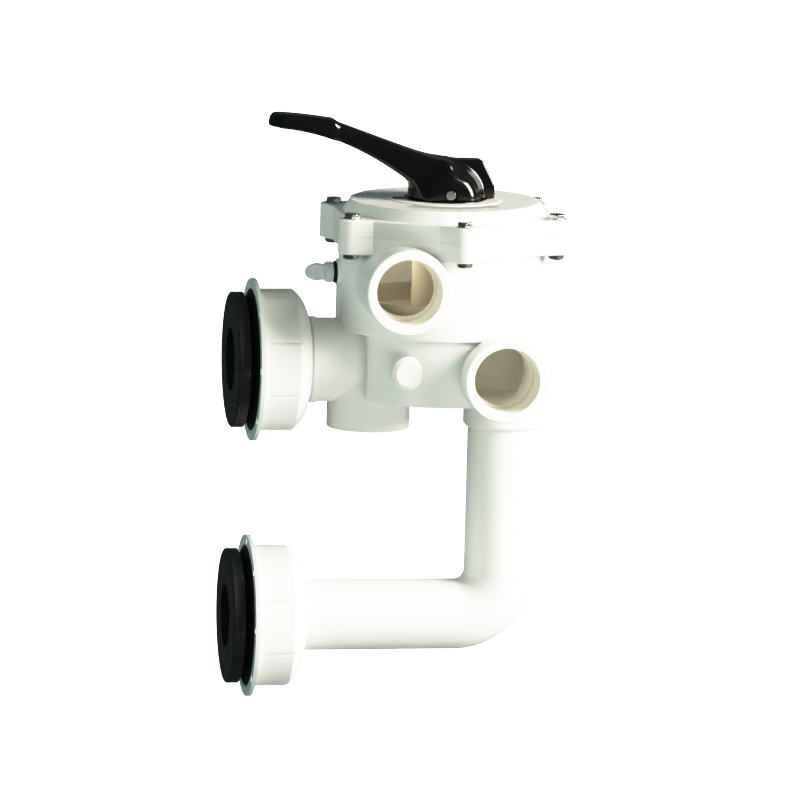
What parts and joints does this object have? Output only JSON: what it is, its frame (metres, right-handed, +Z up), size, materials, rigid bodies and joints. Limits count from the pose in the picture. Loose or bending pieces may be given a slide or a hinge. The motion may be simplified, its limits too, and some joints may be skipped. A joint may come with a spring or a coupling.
{
  "type": "multiport selector valve",
  "caption": "White plastic multiport selector valve with a black lever handle, threaded ports, a bent return pipe and side unions for a pool filter.",
  "frame": {"origin": "centre of the upper ring's bolt circle, on the ring's face towards the tank", "axes": "+Z up the rotor stem, -X towards the filter, -Y out of the pump and return ports"},
  "size_m": [0.2908, 0.2336, 0.5199],
  "materials": {
    "white_plastic": "gloss injection-moulded ABS, slightly warm white",
    "dial_print": null,
    "stainless": "plain stainless steel",
    "rubber": "matt black rubber",
    "black_gloss": "high gloss black moulded plastic",
    "rotor_plastic": "satin beige-grey filled plastic",
    "grey_plastic": "satin light grey plastic",
    "ring_green_grey": "pale green-grey satin ring",
    "black_connector": "matt black moulded plastic"
  },
  "bodies": {
    "root": {"valve_body": "white_plastic", "cover": "white_plastic", "dial_plate": "dial_print", "cover_bolts": "stainless", "cover_nuts": "stainless", "cover_washers": "stainless", "cover_o_ring": "rubber", "spider_gasket": "rubber", "return_pipe": "white_plastic", "upper_tailpiece": "white_plastic", "lower_tailpiece": "white_plastic", "upper_union_o_ring": "rubber", "lower_union_o_ring": "rubber", "upper_flange_ring": "ring_green_grey", "lower_flange_ring": "ring_green_grey", "upper_tank_gasket": "rubber", "lower_tank_gasket": "rubber", "upper_tank_connector": "black_connector", "lower_tank_connector": "black_connector"},
    "carriage": {"pointer_washer": "black_gloss", "spring": "stainless", "spring_washer": "stainless"},
    "diverter": {"rotor": "rotor_plastic", "stem_o_rings": "rubber", "handle_pin": "stainless"},
    "lever": {"handle": "black_gloss"},
    "upper_nut": {"upper_union_nut": "white_plastic"},
    "lower_nut": {"lower_union_nut": "white_plastic"},
    "bleed_plug": {"gauge_plug": "grey_plastic", "plug_o_ring": "rubber"}
  },
  "joints": [
    {"name": "handle_turn", "type": "hinge", "parent": "root", "child": "carriage", "pos_m": [0.17, 0, 0.144], "axis": [0, 0, 1], "continuous": true},
    {"name": "rotor_lift", "type": "slide", "parent": "carriage", "child": "diverter", "axis": [0, 0, 1], "range_m": [0, 0.0079], "stiffness_N_per_m": 4000, "springref_m": -0.012, "deforming": ["spring"]},
    {"name": "handle_tilt", "type": "hinge", "parent": "diverter", "child": "lever", "pos_m": [0.17, 0, 0.15], "axis": [0, -1, 0], "range_deg": [0, 13.8]},
    {"name": "upper_nut_spin", "type": "hinge", "parent": "root", "child": "upper_nut", "pos_m": [0.025, 0, 0], "axis": [1, 0, 0], "continuous": true},
    {"name": "lower_nut_spin", "type": "hinge", "parent": "root", "child": "lower_nut", "pos_m": [0.025, 0, -0.23], "axis": [1, 0, 0], "continuous": true},
    {"name": "plug_turn", "type": "hinge", "parent": "root", "child": "bleed_plug", "pos_m": [0.07, 0, 0.078], "axis": [1, 0, 0], "continuous": true}
  ],
  "couplings": [
    {"joint": "handle_tilt", "follows": "rotor_lift", "rad_per_m": 30.4}
  ]
}
